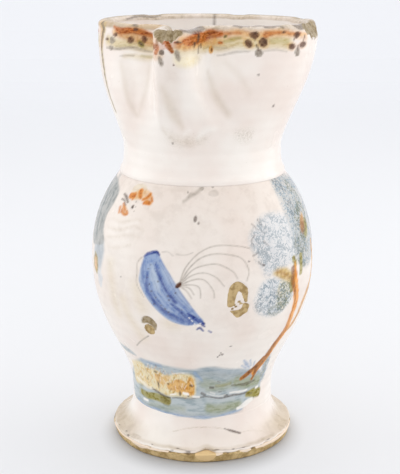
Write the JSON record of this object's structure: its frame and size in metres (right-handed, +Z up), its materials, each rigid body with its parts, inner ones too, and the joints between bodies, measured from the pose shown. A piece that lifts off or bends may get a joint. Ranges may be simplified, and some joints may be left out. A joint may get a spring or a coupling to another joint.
{
  "type": "maiolica jug",
  "caption": "Tin-glazed earthenware table jug with a spreading foot, round belly, flaring neck pressed to a spout and a strap handle, for serving wine or water.",
  "frame": {"origin": "middle of the flat base, on the jug's axis", "axes": "+Z up the axis, -Y towards the spout, +Y towards the handle"},
  "size_m": [0.1176, 0.156, 0.222],
  "materials": {
    "clay": "bare buff earthenware, matt",
    "slip": "clay slip, matt",
    "glaze": "opaque cream tin glaze, glossy"
  },
  "bodies": {
    "root": {"foot": "clay", "foot_slip": "slip", "belly": "clay", "neck_slip": "slip", "neck": "clay", "handle": "clay", "handle_upper_slip": "slip", "handle_lower_slip": "slip", "foot_glaze": "glaze", "belly_glaze": "glaze", "neck_glaze": "glaze", "handle_glaze": "glaze", "inside_glaze": "glaze"}
  },
  "joints": []
}
